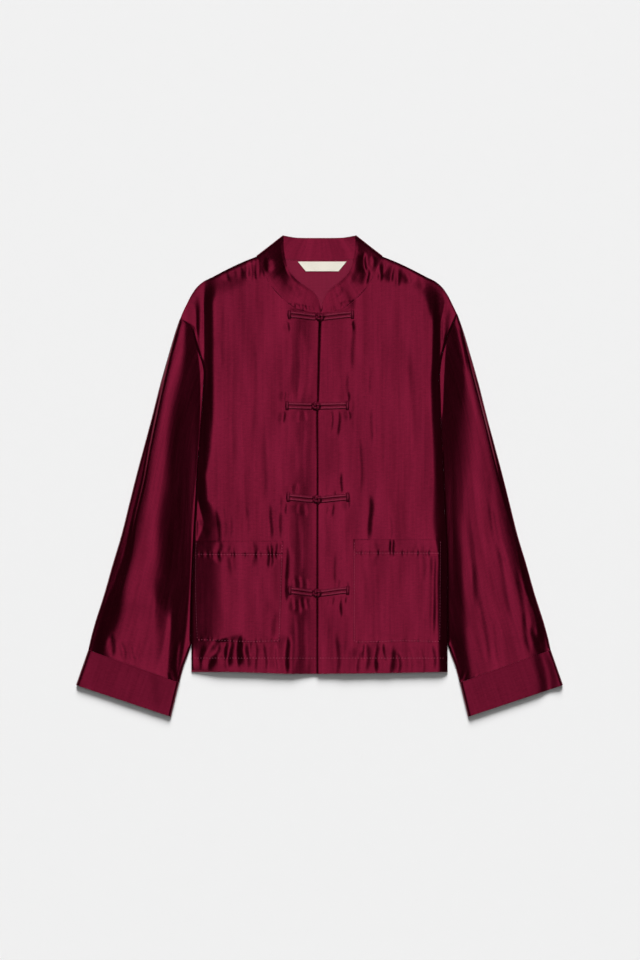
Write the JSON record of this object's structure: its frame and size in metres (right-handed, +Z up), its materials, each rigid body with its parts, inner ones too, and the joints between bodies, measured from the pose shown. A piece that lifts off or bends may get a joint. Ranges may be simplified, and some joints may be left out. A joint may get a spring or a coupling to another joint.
{
  "type": "mandarin collar shirt",
  "caption": "Loose satin shirt with a stand collar, dropped shoulders, wide cuffs, patch pockets and cord frog closures, laid flat with its front up.",
  "frame": {"origin": "centre of the bounding box's bottom face, on the surface that the shirt lies on", "axes": "+X to the right when looking down on the shirt's front with the collar at the top, +Y from the hem to the collar, +Z up from the surface"},
  "size_m": [0.7304, 0.722, 0.0196],
  "materials": {
    "satin": "burgundy slub satin, lustrous on the slopes of its folds",
    "cord": "rolled satin cord in the same burgundy",
    "label": "plain matte cream woven tape"
  },
  "bodies": {
    "root": {"back": "satin", "front_left": "satin", "front_right": "satin", "collar": "satin", "sleeve_left": "satin", "sleeve_right": "satin", "cuff_left": "satin", "cuff_right": "satin", "pocket_left": "satin", "pocket_right": "satin", "label": "label", "frog_1_left": "cord", "frog_1_right": "cord", "frog_1_knot": "cord", "frog_2_left": "cord", "frog_2_right": "cord", "frog_2_knot": "cord", "frog_3_left": "cord", "frog_3_right": "cord", "frog_3_knot": "cord", "frog_4_left": "cord", "frog_4_right": "cord", "frog_4_knot": "cord"}
  },
  "joints": []
}
